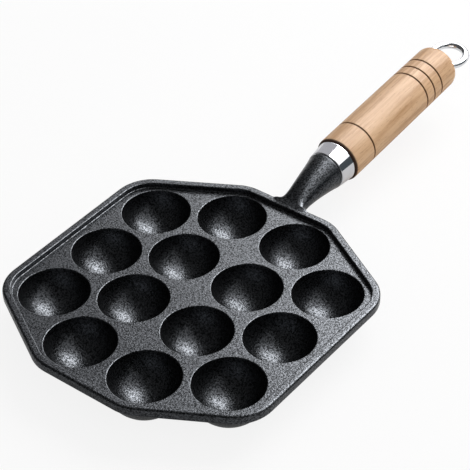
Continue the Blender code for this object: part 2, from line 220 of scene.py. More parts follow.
iron, shader, start = finish_named("seasoned_cast_iron", Metallic=0.92)
place = start.node("ShaderNodeMapping", None, {
    "Vector": start.node("ShaderNodeTexCoord", output="Object"), "Rotation": SAND_TURN})
sand = start.node("ShaderNodeTexNoise", None, {"Vector": place, "Scale": SAND_SCALE,
                                               "Detail": 2.0, "Roughness": 0.55})
fine_sand = start.node("ShaderNodeTexNoise", None, {"Vector": place, "Scale": SAND_FINE_SCALE,
                                                    "Detail": 1.0, "Roughness": 0.5})
cloud = start.node("ShaderNodeTexNoise", None, {"Vector": place, "Scale": CLOUD_SCALE,
                                                "Detail": 3.0, "Roughness": 0.5})
grain = sand * 0.75 + fine_sand * 0.25
feed(shader,
     Base_Color=grain.between(0.39, 0.60).mix((0.010, 0.011, 0.012), (0.076, 0.080, 0.087)),
     Roughness=0.22 + grain * 0.08 + cloud * 0.05,
     Normal=start.node("ShaderNodeBump", None, {"Height": grain, "Strength": 1.0,
                                                "Distance": SAND_HEIGHT}))
print("iron nodes:", len(iron.node_tree.nodes))

# %% [markdown]
# Plating. The ferrule, the eye and the washer are bright metal. Chromium reflects a
# little over half of what meets it, so its colour is a mid grey and not white. A faint
# cloud in the roughness keeps the reflections from looking computed.

# %% Bright plating
SMUDGE_SCALE = 90.0


def plating(name, colour, roughness, smudge):
    made, shader, start = finish_named(name, Metallic=1.0)
    place = start.node("ShaderNodeTexCoord", output="Object")
    cloud = start.node("ShaderNodeTexNoise", None, {"Vector": place, "Scale": SMUDGE_SCALE,
                                                    "Detail": 2.0})
    feed(shader, Base_Color=cloud.between(0.3, 0.7).mix(
            [value * 0.96 for value in colour], colour),
         Roughness=roughness + cloud * smudge)
    return made


ferrule_chrome = plating("ferrule_chrome", (0.56, 0.565, 0.585), 0.05, 0.04)
rod_chrome = plating("rod_chrome", (0.66, 0.67, 0.69), 0.04, 0.03)
washer_zinc = plating("washer_zinc", (0.60, 0.60, 0.61), 0.16, 0.10)
print("platings:", ferrule_chrome.name, rod_chrome.name, washer_zinc.name)

# %% [markdown]
# Beech. The grip is turned from one stick of beech, so its grain runs along the handle.
# Seen from the side, growth rings show as long soft streaks, and the short dark flecks
# are the rays that beech is known for. The streaks are a noise that a Mapping node
# stretches along the handle's axis. The grooves are burnt in while the stick spins,
# with a wire held against it, and so is the shoulder: both are dark bands at fixed
# distances along the axis, which is the Object coordinate's share along that axis.

# %% Lacquered beech
FERRULE_REAR = 0.0003 + 0.0107
GRIP_FRONT = FERRULE_REAR + 0.0003
GRIP_LENGTH = 0.1120
GRIP_REAR = GRIP_FRONT + GRIP_LENGTH
GROOVES = [GRIP_FRONT + 0.0194] + [GRIP_REAR - 0.0185 - index * 0.0082 for index in range(3)]
GROOVE_HALF = 0.0007
SHOULDER_BURN = 0.0007, 0.0019   # from the grip's front: full, and faded out
STREAK_SCALE = (20.0, 420.0, 420.0)
RING_SCALE = (4.0, 70.0, 70.0)
FLECK_SCALE = (230.0, 1900.0, 1900.0)

beech, shader, start = finish_named("lacquered_beech", Specular_IOR_Level=0.24,
                                     Coat_Roughness=0.25)
place = start.node("ShaderNodeTexCoord", output="Object")
local = start.node("ShaderNodeMapping", {"vector_type": 'TEXTURE'},
                   {"Vector": place, "Location": HANDLE_START,
                    "Rotation": (0, -HANDLE_SLOPE, 0)})
along = start.node("ShaderNodeSeparateXYZ", None, {"Vector": local}, output="X")
streak_place = start.node("ShaderNodeMapping", None, {"Vector": local,
                                                      "Scale": STREAK_SCALE})
streaks = start.node("ShaderNodeTexNoise", None, {"Vector": streak_place, "Scale": 1.0,
                                                  "Detail": 4.0, "Roughness": 0.6})
wide_place = start.node("ShaderNodeMapping", None, {"Vector": local,
                                                    "Scale": RING_SCALE})
wide = start.node("ShaderNodeTexNoise", None, {"Vector": wide_place, "Scale": 1.0,
                                               "Detail": 2.0, "Distortion": 0.6})
fleck_place = start.node("ShaderNodeMapping", None, {"Vector": local,
                                                     "Scale": FLECK_SCALE})
flecks = start.node("ShaderNodeTexNoise", None, {"Vector": fleck_place, "Scale": 1.0,
                                                 "Detail": 1.0})
shoulder_burn = 1.0 - along.between(*[GRIP_FRONT + gap for gap in SHOULDER_BURN])
groove_burn = None
for groove in GROOVES:
    gap = (along - groove).math('ABSOLUTE', along - groove)
    line = 1.0 - gap.between(GROOVE_HALF * 0.5, GROOVE_HALF * 1.2)
    groove_burn = line if groove_burn is None else line.math('MAXIMUM', line, groove_burn)
burnt = start.math('MAXIMUM', shoulder_burn, groove_burn)
tone = streaks * 0.55 + wide * 0.45
wood = tone.between(0.40, 0.60).mix((0.44, 0.240, 0.105), (0.64, 0.405, 0.230))
wood = (flecks.between(0.58, 0.72) * 0.45).mix(wood, (0.32, 0.15, 0.060))
wood = groove_burn.mix(wood, (0.085, 0.028, 0.004))
feed(shader, Base_Color=shoulder_burn.mix(wood, (0.035, 0.014, 0.006)),
     Roughness=0.46 + streaks * 0.12 + burnt * 0.25,
     Coat_Weight=0.12 - burnt * 0.12,
     Normal=start.node("ShaderNodeBump", None, {"Height": streaks, "Strength": 0.25,
                                                "Distance": 0.0001}))
print("burnt grooves at:", [round(groove, 4) for groove in GROOVES])

# %% [markdown]
# A few helpers follow. A finished piece keeps its object at the origin, with its place in
# its mesh, so that Object coordinates are the model's own coordinates. Pieces of
# revolution are made from a list of (radius, distance along the axis) points, swept
# round in small steps.


# %% Helpers for meshes
SMOOTH_ANGLE = math.radians(28)


def piece(name, mesh, finish, body, node):
    """A finished object that stands for a CAD node and rides where it rides."""
    made = bpy.data.objects.new(name, mesh)
    bpy.context.scene.collection.objects.link(made)
    mesh.materials.clear()
    mesh.materials.append(finish)
    mesh.shade_smooth()
    mesh.set_sharp_from_angle(angle=SMOOTH_ANGLE)
    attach(made, body)
    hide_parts(node)
    print(name, len(mesh.polygons), "faces")
    return made


def turned_mesh(name, profile, steps=160):
    """A closed profile of (radius, along) points swept about the handle's axis."""
    bm = bmesh.new()
    rings = []
    for step in range(steps):
        angle = 2 * math.pi * step / steps
        rings.append([bm.verts.new(HANDLE_FRAME @ Vector((radius * math.cos(angle),
                                                          radius * math.sin(angle), along)))
                      for radius, along in profile])
    for first, second in zip(rings, rings[1:] + rings[:1]):
        for index in range(len(profile)):
            after = (index + 1) % len(profile)
            bm.faces.new((first[index], first[after], second[after], second[index]))
    bmesh.ops.recalc_face_normals(bm, faces=bm.faces)
    mesh = bpy.data.meshes.new(name)
    bm.to_mesh(mesh)
    bm.free()
    return mesh


def arc(centre_radius, centre_along, radius, start, end, steps):
    points = []
    for step in range(steps + 1):
        angle = start + (end - start) * step / steps
        points.append((centre_radius + radius * math.cos(angle),
                       centre_along + radius * math.sin(angle)))
    return points


def applied(made, name):
    """The mesh that an object has after its modifiers, as a plain mesh."""
    graph = bpy.context.evaluated_depsgraph_get()
    mesh = bpy.data.meshes.new_from_object(made.evaluated_get(graph))
    mesh.name = name
    bpy.data.objects.remove(made, do_unlink=True)
    return mesh


def open_edges(mesh):
    bm = bmesh.new()
    bm.from_mesh(mesh)
    count = sum(1 for edge in bm.edges if not edge.is_manifold)
    bm.free()
    return count


# %% [markdown]
# The plate's outline is an octagon with rounded corners, which keeps the same margin
# round the staggered cups. Any line at a distance inside it is the same octagon with
# smaller corners, so one function gives them all, always with the same number of
# points. The points are closer together at the handle's end, where the neck will join.

# %% Outline of the plate
CORNER_STEPS = 12
SIDE_STEP = 0.006
NECK_SIDE_STEP = 0.0006


def octagon(inset):
    """Points (x, y) of the outline, moved inwards by inset, anticlockwise."""
    quarter = [(0, HALF_LENGTH), (DIAGONAL_ANGLE, DIAGONAL_DISTANCE), (math.pi / 2, HALF_WIDTH)]
    sides = list(quarter)
    sides += [(math.pi - angle, distance) for angle, distance in quarter[1::-1]]
    sides += [(math.pi + DIAGONAL_ANGLE, DIAGONAL_DISTANCE), (1.5 * math.pi, HALF_WIDTH),
              (2 * math.pi - DIAGONAL_ANGLE, DIAGONAL_DISTANCE)]
    corners = []
    for index, (first, near) in enumerate(sides):
        second, far = sides[(index + 1) % len(sides)]
        second += 2 * math.pi if second < first else 0
        lines = Matrix(((math.cos(first), math.sin(first)), (math.cos(second), math.sin(second))))
        centre = lines.inverted() @ Vector((near - CORNER_RADIUS, far - CORNER_RADIUS))
        corners.append([centre + Vector((math.cos(angle), math.sin(angle))) * (CORNER_RADIUS - inset)
                        for angle in np.linspace(first, second, CORNER_STEPS + 1)])
    points = []
    for index, corner in enumerate(corners):
        points += corner
        begin, end = corner[-1], corners[(index + 1) % len(corners)][0]
        plain = SIDE_STEP if index < len(corners) - 1 else NECK_SIDE_STEP
        steps = side_steps.setdefault(index, max(1, round((end - begin).length / plain)))
        points += [begin.lerp(end, step / steps) for step in range(1, steps)]
    return points


side_steps = {}
print("points round the plate:", len(octagon(0)))

# %% [markdown]
# The rim's band is that outline at a series of insets and heights: from the plate's top,
# up a small root fillet, over the rounded rim, down the outer wall and round the lower
# edge. Each row of the band is one turn of the outline.

# %% Rim band
RIM_OUTER_ROUND = 0.00145
RIM_INNER_ROUND = 0.0007
RIM_ROOT_ROUND = 0.0006
BASE_ROUND = 0.0015
FLAT_MARGIN = 0.0003


def rim_profile():
    """(inset, height) from the plate's top to its underside."""
    quarter = np.linspace(0, math.pi / 2, 9)
    root, inner, outer = RIM_ROOT_ROUND, RIM_INNER_ROUND, RIM_OUTER_ROUND
    points = [(RIM_WIDTH + root + FLAT_MARGIN, 0)]
    points += [(RIM_WIDTH + root * (1 - math.sin(a)), root * (1 - math.cos(a))) for a in quarter]
    points += [(RIM_WIDTH, height)
               for height in np.linspace(root, RIM_HEIGHT - inner, 5)[1:-1]]
    points += [(RIM_WIDTH - inner * (1 - math.cos(a)), RIM_HEIGHT - inner * (1 - math.sin(a)))
               for a in quarter]
    points += [(inset, RIM_HEIGHT) for inset in np.linspace(RIM_WIDTH - inner, outer, 7)[1:-1]]
    points += [(outer * (1 - math.sin(a)), RIM_HEIGHT - outer * (1 - math.cos(a)))
               for a in quarter]
    points += [(0, height)
               for height in np.linspace(RIM_HEIGHT - outer, BASE_ROUND - PLATE_THICKNESS, 7)[1:-1]]
    points += [(BASE_ROUND * (1 - math.cos(a)), BASE_ROUND * (1 - math.sin(a)) - PLATE_THICKNESS)
               for a in quarter]
    points.append((BASE_ROUND + FLAT_MARGIN, -PLATE_THICKNESS))
    return points


bm = bmesh.new()
rows = [[bm.verts.new((point.x, point.y, height)) for point in octagon(inset)]
        for inset, height in rim_profile()]
for upper, lower in zip(rows, rows[1:]):
    for index in range(len(upper)):
        after = (index + 1) % len(upper)
        bm.faces.new((upper[index], lower[index], lower[after], upper[after]))
bmesh.ops.recalc_face_normals(bm, faces=bm.faces)
rim_band = bpy.data.meshes.new("rim_band")
bm.to_mesh(rim_band)
bm.free()
print("rim band:", len(rim_band.polygons), "faces in", len(rows), "rows")

# %% [markdown]
# One cup is a half ball with a small round lip. Below it is a dome, part of a larger ball
# with a little flat to stand on. The domes of neighbours run into one another under the
# plate. So three shapes are made once: the inside of a cup, a thin lining below it whose
# roots stay apart, so that a flat skin can be laid between them, and the full dome, a
# closed bowl that a Boolean adds over the lining.

# %% Cup, lining and dome
CUP_STEPS = 80
LIP_ROUND = 0.0006
LIP_MARGIN = 0.0002
LINING_RADIUS = CUP_RADIUS + 0.0019
LINING_DEPTH = CUP_RADIUS + 0.0014


def revolved(name, profile):
    """Points (radius, height) swept about Z. A point of no radius is a pole."""
    bm = bmesh.new()
    rows = []
    for radius, height in profile:
        turns = [2 * math.pi * step / CUP_STEPS for step in range(CUP_STEPS if radius else 1)]
        rows.append([bm.verts.new((radius * math.cos(turn), radius * math.sin(turn), height))
                     for turn in turns])
    for upper, lower in zip(rows, rows[1:]):
        for index in range(CUP_STEPS):
            corners = [row[place % CUP_STEPS % len(row)] for row, place in
                       ((upper, index), (upper, index + 1), (lower, index + 1), (lower, index))]
            bm.faces.new(list(dict.fromkeys(corners)))
    mesh = bpy.data.meshes.new(name)
    bm.to_mesh(mesh)
    bm.free()
    return mesh


def ball_part(radius, top, bottom, steps):
    """Points of a ball about the mouth's centre, from one depth down to another."""
    return [(radius * math.cos(a), -radius * math.sin(a))
            for a in np.linspace(math.asin(top / radius), math.asin(bottom / radius), steps)]


lip_radius = CUP_RADIUS + LIP_ROUND
bowl = [(lip_radius + LIP_MARGIN, 0)]
bowl += [(lip_radius - LIP_ROUND * math.sin(a), LIP_ROUND * (math.cos(a) - 1))
         for a in np.linspace(0, math.pi / 2, 9)]
bowl += ball_part(CUP_RADIUS, LIP_ROUND, CUP_RADIUS, 24)[1:-1] + [(0, -CUP_RADIUS)]
lining = ball_part(LINING_RADIUS, PLATE_THICKNESS, LINING_DEPTH, 12) + [(0, -LINING_DEPTH)]
hidden = CUP_RADIUS + 0.0009
dome = [(0, -hidden)] + ball_part(hidden, PLATE_THICKNESS / 2, hidden, 12)[-2::-1]
dome += ball_part(DOME_RADIUS, PLATE_THICKNESS / 2, BASE_DEPTH, 18) + [(0, -BASE_DEPTH)]
shapes = {"Cup": revolved("cup_inside", bowl), "Lining": revolved("cup_lining", lining),
          "Dome": revolved("cup_dome", dome)}
shapes["Lining"].flip_normals()
for name, mesh in shapes.items():
    print(name, len(mesh.polygons), "faces")

# %% [markdown]
# The cups follow a rule: two middle rows of four, and two outer rows of three that sit
# half a pitch along. So the plate is made by Geometry Nodes. Two grids give the places.
# The cup and its lining are instanced there, and circles of the same size are filled
# together with the plate's own edge, which leaves a flat skin with fourteen round holes.
# Merging by distance closes the plate, and a Boolean adds the instanced domes.


# %% Geometry Nodes: plate with cups
def tree_input(tree, name, kind):
    return tree.interface.new_socket(name=name, in_out='INPUT', socket_type=kind)


tree = bpy.data.node_groups.new("plate_with_cups", 'GeometryNodeTree')
tree_input(tree, "Rim band", 'NodeSocketGeometry')
shape_sockets = {name: tree_input(tree, name, 'NodeSocketObject') for name in shapes}
pitch_socket = tree_input(tree, "Pitch", 'NodeSocketFloat')
middle_socket = tree_input(tree, "Middle row", 'NodeSocketFloat')
outer_socket = tree_input(tree, "Outer row", 'NodeSocketFloat')
mouth_socket = tree_input(tree, "Mouth radius", 'NodeSocketFloat')
root_socket = tree_input(tree, "Lining root radius", 'NodeSocketFloat')
depth_socket = tree_input(tree, "Plate thickness", 'NodeSocketFloat')
skin_socket = tree_input(tree, "Finish", 'NodeSocketMaterial')
tree.interface.new_socket(name="Casting", in_out='OUTPUT', socket_type='NodeSocketGeometry')

start = Wire(tree)
given = tree.nodes.new("NodeGroupInput")


def entry(name):
    return Wire(tree, given.outputs[name])


middle = start.node("GeometryNodeMeshGrid", None, {
    "Size X": entry("Pitch") * 3.0, "Size Y": entry("Middle row") * 2.0,
    "Vertices X": 4, "Vertices Y": 2})
outer = start.node("GeometryNodeMeshGrid", None, {
    "Size X": entry("Pitch") * 2.0, "Size Y": entry("Outer row") * 2.0,
    "Vertices X": 3, "Vertices Y": 2})
places = tree.nodes.new("GeometryNodeJoinGeometry")
for grid in (outer, middle):
    tree.links.new(grid.socket, places.inputs[0])
places = Wire(tree, places.outputs[0])


def at_places(geometry):
    return start.node("GeometryNodeInstanceOnPoints", None,
                      {"Points": places, "Instance": geometry})


def real(geometry):
    return start.node("GeometryNodeRealizeInstances", None, {"Geometry": geometry})


def shape(name):
    return at_places(start.node("GeometryNodeObjectInfo", None, {"Object": entry(name)},
                                output="Geometry"))


def skin(radius, edge_height):
    """A flat face between the plate's edge at one height and the round holes."""
    height = start.node("GeometryNodeInputPosition").node(
        "ShaderNodeSeparateXYZ", None, {"Vector": start.node("GeometryNodeInputPosition")},
        output="Z")
    circle = start.node("GeometryNodeCurvePrimitiveCircle", None,
                        {"Resolution": CUP_STEPS, "Radius": radius})
    near = (height - edge_height).math('ABSOLUTE', height - edge_height) \
        .math('LESS_THAN', (height - edge_height).math('ABSOLUTE', height - edge_height), 1e-6)
    free = start.node("GeometryNodeInputMeshEdgeNeighbors").math(
        'LESS_THAN', start.node("GeometryNodeInputMeshEdgeNeighbors"), 1.5)
    edge = start.node("GeometryNodeMeshToCurve", None,
                      {"Mesh": entry("Rim band"), "Selection": near * free})
    loops = tree.nodes.new("GeometryNodeJoinGeometry")
    for curve in (edge, real(at_places(circle))):
        tree.links.new(curve.socket, loops.inputs[0])
    return start.node("GeometryNodeFillCurve", None, {"Curve": Wire(tree, loops.outputs[0])})


thickness = entry("Plate thickness")
top = skin(entry("Mouth radius"), 0.0)
bottom = start.node("GeometryNodeFlipFaces", None,
                    {"Mesh": skin(entry("Lining root radius"), 0.0 - thickness)})
drop = start.node("ShaderNodeCombineXYZ", None, {"Z": 0.0 - thickness})
bottom = start.node("GeometryNodeTransform", None, {"Geometry": bottom, "Translation": drop})
whole = tree.nodes.new("GeometryNodeJoinGeometry")
for part in (entry("Rim band"), top, bottom, real(shape("Cup")), real(shape("Lining"))):
    tree.links.new(part.socket, whole.inputs[0])
closed = start.node("GeometryNodeMergeByDistance", None,
                    {"Geometry": Wire(tree, whole.outputs[0]), "Distance": 0.00002})
union = tree.nodes.new("GeometryNodeMeshBoolean")
union.operation, union.solver = 'UNION', 'MANIFOLD'
for operand in (shape("Dome"), closed):
    tree.links.new(operand.socket, union.inputs["Mesh 2"])
solid = real(Wire(tree, union.outputs[0]))
coloured = start.node("GeometryNodeSetMaterial", None,
                      {"Geometry": solid, "Material": entry("Finish")})
result = tree.nodes.new("NodeGroupOutput")
tree.links.new(coloured.socket, result.inputs[0])
print("plate tree:", len(tree.nodes), "nodes")

# %% Run the tree
blanks = {name: bpy.data.objects.new(name, mesh) for name, mesh in shapes.items()}
plate = bpy.data.objects.new("plate", rim_band)
for blank in (*blanks.values(), plate):
    bpy.context.scene.collection.objects.link(blank)
modifier = plate.modifiers.new("cups", 'NODES')
modifier.node_group = tree
for name, socket in shape_sockets.items():
    modifier[socket.identifier] = blanks[name]
lining_root = math.sqrt(LINING_RADIUS ** 2 - PLATE_THICKNESS ** 2)
for socket, value in ((pitch_socket, CUP_PITCH), (middle_socket, MIDDLE_ROW),
                      (outer_socket, OUTER_ROW), (mouth_socket, lip_radius + LIP_MARGIN),
                      (root_socket, lining_root), (depth_socket, PLATE_THICKNESS),
                      (skin_socket, iron)):
    modifier[socket.identifier] = value
plate_mesh = applied(plate, "plate_with_cups")
for blank in blanks.values():
    bpy.data.objects.remove(blank, do_unlink=True)
print("plate:", len(plate_mesh.polygons), "faces, open edges:", open_edges(plate_mesh))

# %% [markdown]
# The neck is cast with the plate. It leaves the rim's outer wall wide and low, narrows to
# a waist, and swells to a round end that faces the ferrule. It is a loft: sections at
# places along the neck, with their widths, heights and squareness read from a short
# table and eased from one row to the next.

# %% Neck loft
NECK_ROOT_DEPTH = 0.00255
NECK_END_ROUND = 0.0008
NECK_STEPS = 128
NECK_SECTION_SHARES = (
    (-0.042, 1.066, 0.241, 0.017, 4.0),
    (0.000, 1.057, 0.262, 0.053, 4.0),
    (0.036, 1.049, 0.288, 0.090, 4.0),
    (0.060, 1.016, 0.306, 0.111, 3.9),
    (0.071, 0.941, 0.315, 0.122, 3.8),
    (0.074, 0.872, 0.318, 0.124, 3.7),
    (0.080, 0.823, 0.324, 0.129, 3.6),
    (0.088, 0.777, 0.333, 0.133, 3.5),
    (0.100, 0.734, 0.348, 0.141, 3.3),
    (0.114, 0.699, 0.364, 0.151, 3.1),
    (0.134, 0.668, 0.387, 0.162, 2.85),
    (0.175, 0.646, 0.430, 0.203, 2.6),
    (0.220, 0.649, 0.475, 0.256, 2.35),
    (0.265, 0.652, 0.520, 0.326, 2.2),
    (0.350, 0.676, 0.582, 0.450, 2.1),
    (0.480, 0.725, 0.669, 0.620, 2.05),
    (0.620, 0.785, 0.763, 0.754, 2.0),
    (0.760, 0.846, 0.852, 0.861, 2.0),
    (0.880, 0.908, 0.928, 0.937, 2.0),
    (0.950, 0.955, 0.969, 0.974, 2.0),
    (1.000, 1.000, 1.000, 1.000, 2.0),
)


def eased(shares, places):
    """The table's columns at the places, by cubics that don't swing past its rows."""
    table = np.array(shares)
    at, values = table[:, 0], table[:, 1:]
    spans = np.diff(at)[:, None]
    slopes = np.diff(values, axis=0) / spans
    same_way = slopes[:-1] * slopes[1:] > 0
    mean = 2 * slopes[:-1] * slopes[1:] / np.where(same_way, slopes[:-1] + slopes[1:], 1)
    tangents = np.vstack([slopes[:1], np.where(same_way, mean, 0), slopes[-1:]])
    rows = np.clip(np.searchsorted(at, places) - 1, 0, len(spans) - 1)
    span = spans[rows]
    step = (places - at[rows])[:, None] / span
    return ((1 + 2 * step) * (1 - step) ** 2 * values[rows]
            + step * (1 - step) ** 2 * span * tangents[rows]
            + (3 - 2 * step) * step ** 2 * values[rows + 1]
            + (step - 1) * step ** 2 * span * tangents[rows + 1])


def section(centre, tilt, half_width, half_height, squareness):
    upward = Vector((-math.sin(tilt), 0, math.cos(tilt)))
    points = []
    for step in range(NECK_STEPS):
        angle = 2 * math.pi * step / NECK_STEPS
        across = math.copysign(abs(math.cos(angle)) ** (2 / squareness), math.cos(angle))
        up = math.copysign(abs(math.sin(angle)) ** (2 / squareness), math.sin(angle))
        points.append(centre + Vector((0, half_width * across, 0)) + upward * (half_height * up))
    return points


root_x = HALF_LENGTH - NECK_ROOT_DEPTH
neck_end = HANDLE_START - PAN_PLACE - HANDLE_AXIS * NECK_END_ROUND
sections = []
neck_places = np.concatenate([np.linspace(-0.042, 0.06, 13), np.linspace(0.06, 0.12, 25)[1:],
                              np.linspace(0.12, 1, 66)[1:]])
for place, (width, height, rise, squareness) in zip(neck_places,
                                                    eased(NECK_SECTION_SHARES, neck_places)):
    sections.append(section(Vector((root_x + (neck_end.x - root_x) * place, 0, neck_end.z * rise)),
                            HANDLE_SLOPE * place, NECK_END_RADIUS * width,
                            NECK_END_RADIUS * height, squareness))
for angle in np.linspace(0, math.pi / 2, 7)[1:]:
    radius = NECK_END_RADIUS - NECK_END_ROUND * (1 - math.cos(angle))
    sections.append(section(neck_end + HANDLE_AXIS * (NECK_END_ROUND * math.sin(angle)),
                            HANDLE_SLOPE, radius, radius, 2.0))
bm = bmesh.new()
rows = [[bm.verts.new(point) for point in points] for points in sections]
for low, high in zip(rows, rows[1:]):
    for index in range(NECK_STEPS):
        after = (index + 1) % NECK_STEPS
        bm.faces.new((low[index], low[after], high[after], high[index]))
bm.faces.new(rows[0])
bm.faces.new(rows[-1])
bmesh.ops.recalc_face_normals(bm, faces=bm.faces)
neck_mesh = bpy.data.meshes.new("neck")
bm.to_mesh(neck_mesh)
bm.free()
print("neck:", len(neck_mesh.polygons), "faces")

# %% [markdown]
# Plate and neck are joined by a Boolean, as the metal is one casting, and the hole for
# the tie rod is cut. A casting has no sharp inner corner where two walls meet, because
# the sand would crumble there. So the points close to the joint are relaxed towards
# their neighbours, which leaves a fillet.

# %% Join the neck and soften the root
ROD_RADIUS = 0.00225
SOCKET_RADIUS = ROD_RADIUS + 0.0003
SOCKET_DEPTH = 0.0220
ROOT_REACH = 0.0032
ROOT_PASSES = 14


def rod_blank(name, radius, begin, end, steps=48):
    """A round bar on the handle's axis, in the model's frame."""
    bm = bmesh.new()
    bmesh.ops.create_cone(bm, cap_ends=True, segments=steps, radius1=radius, radius2=radius,
                          depth=end - begin)
    bmesh.ops.translate(bm, vec=Vector((0, 0, (begin + end) / 2)), verts=bm.verts)
    bmesh.ops.transform(bm, matrix=HANDLE_FRAME, verts=bm.verts)
    mesh = bpy.data.meshes.new(name)
    bm.to_mesh(mesh)
    bm.free()
    made = bpy.data.objects.new(name, mesh)
    bpy.context.scene.collection.objects.link(made)
    return made


def combined(first, operation, second):
    """One mesh from two by a Boolean. The second object is used up."""
    cut = first.modifiers.new("cut", 'BOOLEAN')
    cut.operation, cut.object, cut.solver = operation, second, 'MANIFOLD'
    graph = bpy.context.evaluated_depsgraph_get()
    mesh = bpy.data.meshes.new_from_object(first.evaluated_get(graph))
    first.modifiers.clear()
    first.data = mesh
    bpy.data.objects.remove(second, do_unlink=True)
    return first


for mesh in (plate_mesh, neck_mesh):
    mesh.transform(Matrix.Translation(PAN_PLACE))
casting = bpy.data.objects.new("casting", plate_mesh)
neck = bpy.data.objects.new("neck", neck_mesh)
for made in (casting, neck):
    bpy.context.scene.collection.objects.link(made)
combined(casting, 'UNION', neck)
combined(casting, 'DIFFERENCE', rod_blank("socket", SOCKET_RADIUS, -SOCKET_DEPTH, 0.002))

bm = bmesh.new()
bm.from_mesh(casting.data)
wall_x = PAN_PLACE.x + HALF_LENGTH
creases = [edge for edge in bm.edges if edge.is_manifold and not edge.is_convex
           and edge.calc_face_angle(0) > math.radians(14)
           and all(abs(v.co.x - wall_x) < 0.004 and abs(v.co.y) < 0.024
                   and v.co.z > PAN_PLACE.z - PLATE_THICKNESS - 0.001 for v in edge.verts)]
root_points = [(edge.verts[0].co + edge.verts[1].co) / 2 for edge in creases]
near_root = []
if root_points:
    cloud = np.array([point[:] for point in root_points])
    for vert in bm.verts:
        if abs(vert.co.x - wall_x) < 0.008 and abs(vert.co.y) < 0.030:
            gap = np.sqrt(((cloud - np.array(vert.co[:])) ** 2).sum(axis=1)).min()
            if gap < ROOT_REACH and vert.co.x > wall_x - RIM_WIDTH:
                near_root.append(vert)
for _ in range(ROOT_PASSES):
    bmesh.ops.smooth_vert(bm, verts=near_root, factor=0.5, use_axis_x=True, use_axis_y=True,
                          use_axis_z=True)
bm.to_mesh(casting.data)
bm.free()
print("crease edges:", len(creases), "points relaxed:", len(near_root),
      "open edges:", open_edges(casting.data))
pan_iron = piece("pan_iron", casting.data.copy(), iron, "pan", "pan_casting")
bpy.data.objects.remove(casting, do_unlink=True)

# %% [markdown]
# The ferrule is a thin tapered cap, drawn from sheet and plated. Its closed front lies
# against the neck, and the grip's tenon fills it. It is a piece of revolution.

# %% Ferrule
FERRULE_FRONT = 0.0003
FRONT_RADIUS, REAR_RADIUS = 0.01245, 0.01355
SHEET = 0.0009
EDGE_ROUND = 0.0008

profile = arc(FRONT_RADIUS - EDGE_ROUND, FERRULE_FRONT + EDGE_ROUND, EDGE_ROUND, 0,
              -math.pi / 2, 8)
profile += [(SOCKET_RADIUS, FERRULE_FRONT), (SOCKET_RADIUS, FERRULE_FRONT + SHEET),
            (FRONT_RADIUS - SHEET, FERRULE_FRONT + SHEET), (REAR_RADIUS - SHEET, FERRULE_REAR)]
profile += arc(REAR_RADIUS - SHEET / 3, FERRULE_REAR - SHEET / 3, SHEET / 3, math.pi / 2, 0, 4)
rear_end, front_end = Vector(profile[-1]), Vector(profile[0])
profile += [tuple(rear_end.lerp(front_end, share)) for share in (0.02, 0.5, 0.98)]
ferrule = piece("ferrule_cap", turned_mesh("ferrule_cap", profile), ferrule_chrome, "pan",
                "ferrule")

# %% [markdown]
# The grip is turned on a lathe between centres. Its outline runs from the burnt shoulder
# at the ferrule to the rounded end with a round pocket for the washer, and each groove
# is a shallow round cut. The grooves and the shoulder have enough points to catch light.

# %% Grip
GRIP_FRONT_RADIUS, GRIP_REAR_RADIUS = 0.0147, 0.0144
FRONT_ROUND = 0.0019
REAR_ROUND = 0.0050
GROOVE_DEPTH = 0.0005
WASHER_REAR = GRIP_REAR - 0.00205 - 0.0003
WASHER_THICKNESS = 0.0012
POCKET_FLOOR = WASHER_REAR - WASHER_THICKNESS - 0.0003
POCKET_RADIUS = 0.0078
BODY_STEPS = 40


def grip_radius(along):
    share = (along - GRIP_FRONT) / GRIP_LENGTH
    radius = GRIP_FRONT_RADIUS + (GRIP_REAR_RADIUS - GRIP_FRONT_RADIUS) * share ** 2
    for groove in GROOVES:
        reach = abs(along - groove) / GROOVE_HALF
        if reach < 1:
            radius -= GROOVE_DEPTH * math.cos(reach * math.pi / 2)
    return radius


body_end = GRIP_REAR - REAR_ROUND
alongs = set(np.linspace(GRIP_FRONT + FRONT_ROUND, body_end, BODY_STEPS))
for groove in GROOVES:
    alongs |= set(groove + GROOVE_HALF * np.linspace(-1, 1, 9))
shoulder = GRIP_FRONT_RADIUS - REAR_RADIUS
profile = [(GRIP_FRONT_RADIUS - shoulder * (1 - math.sin(a)),
            GRIP_FRONT + FRONT_ROUND * (1 - math.cos(a))) for a in np.linspace(0, math.pi / 2, 9)]
profile += [(grip_radius(along), along) for along in sorted(alongs)[1:-1]]
profile += arc(grip_radius(GRIP_REAR) - REAR_ROUND, body_end, REAR_ROUND, 0, math.pi / 2, 14)
tenon = SHEET + 0.0003
profile += [(POCKET_RADIUS + 0.0004, GRIP_REAR), (POCKET_RADIUS, GRIP_REAR - 0.0004),
            (POCKET_RADIUS, POCKET_FLOOR), (SOCKET_RADIUS, POCKET_FLOOR),
            (SOCKET_RADIUS, FERRULE_FRONT + tenon), (FRONT_RADIUS - tenon, FERRULE_FRONT + tenon),
            (REAR_RADIUS - tenon, GRIP_FRONT)]
grip = piece("beech_grip", turned_mesh("beech_grip", profile), beech, "pan", "wooden_grip")

# %% [markdown]
# The washer sits in the pocket at the grip's end, and the eye bears on it.

# %% Washer
WASHER_RADIUS = 0.0070
WASHER_EDGE = 0.0002
washer_front = WASHER_REAR - WASHER_THICKNESS
profile = arc(WASHER_RADIUS - WASHER_EDGE, WASHER_REAR - WASHER_EDGE, WASHER_EDGE,
              math.pi / 2, 0, 4)
profile += arc(WASHER_RADIUS - WASHER_EDGE, washer_front + WASHER_EDGE, WASHER_EDGE, 0,
               -math.pi / 2, 4)
profile += [(SOCKET_RADIUS, washer_front), (SOCKET_RADIUS, WASHER_REAR)]
washer = piece("washer", turned_mesh("washer", profile, 96), washer_zinc, "pan", "eye_washer")

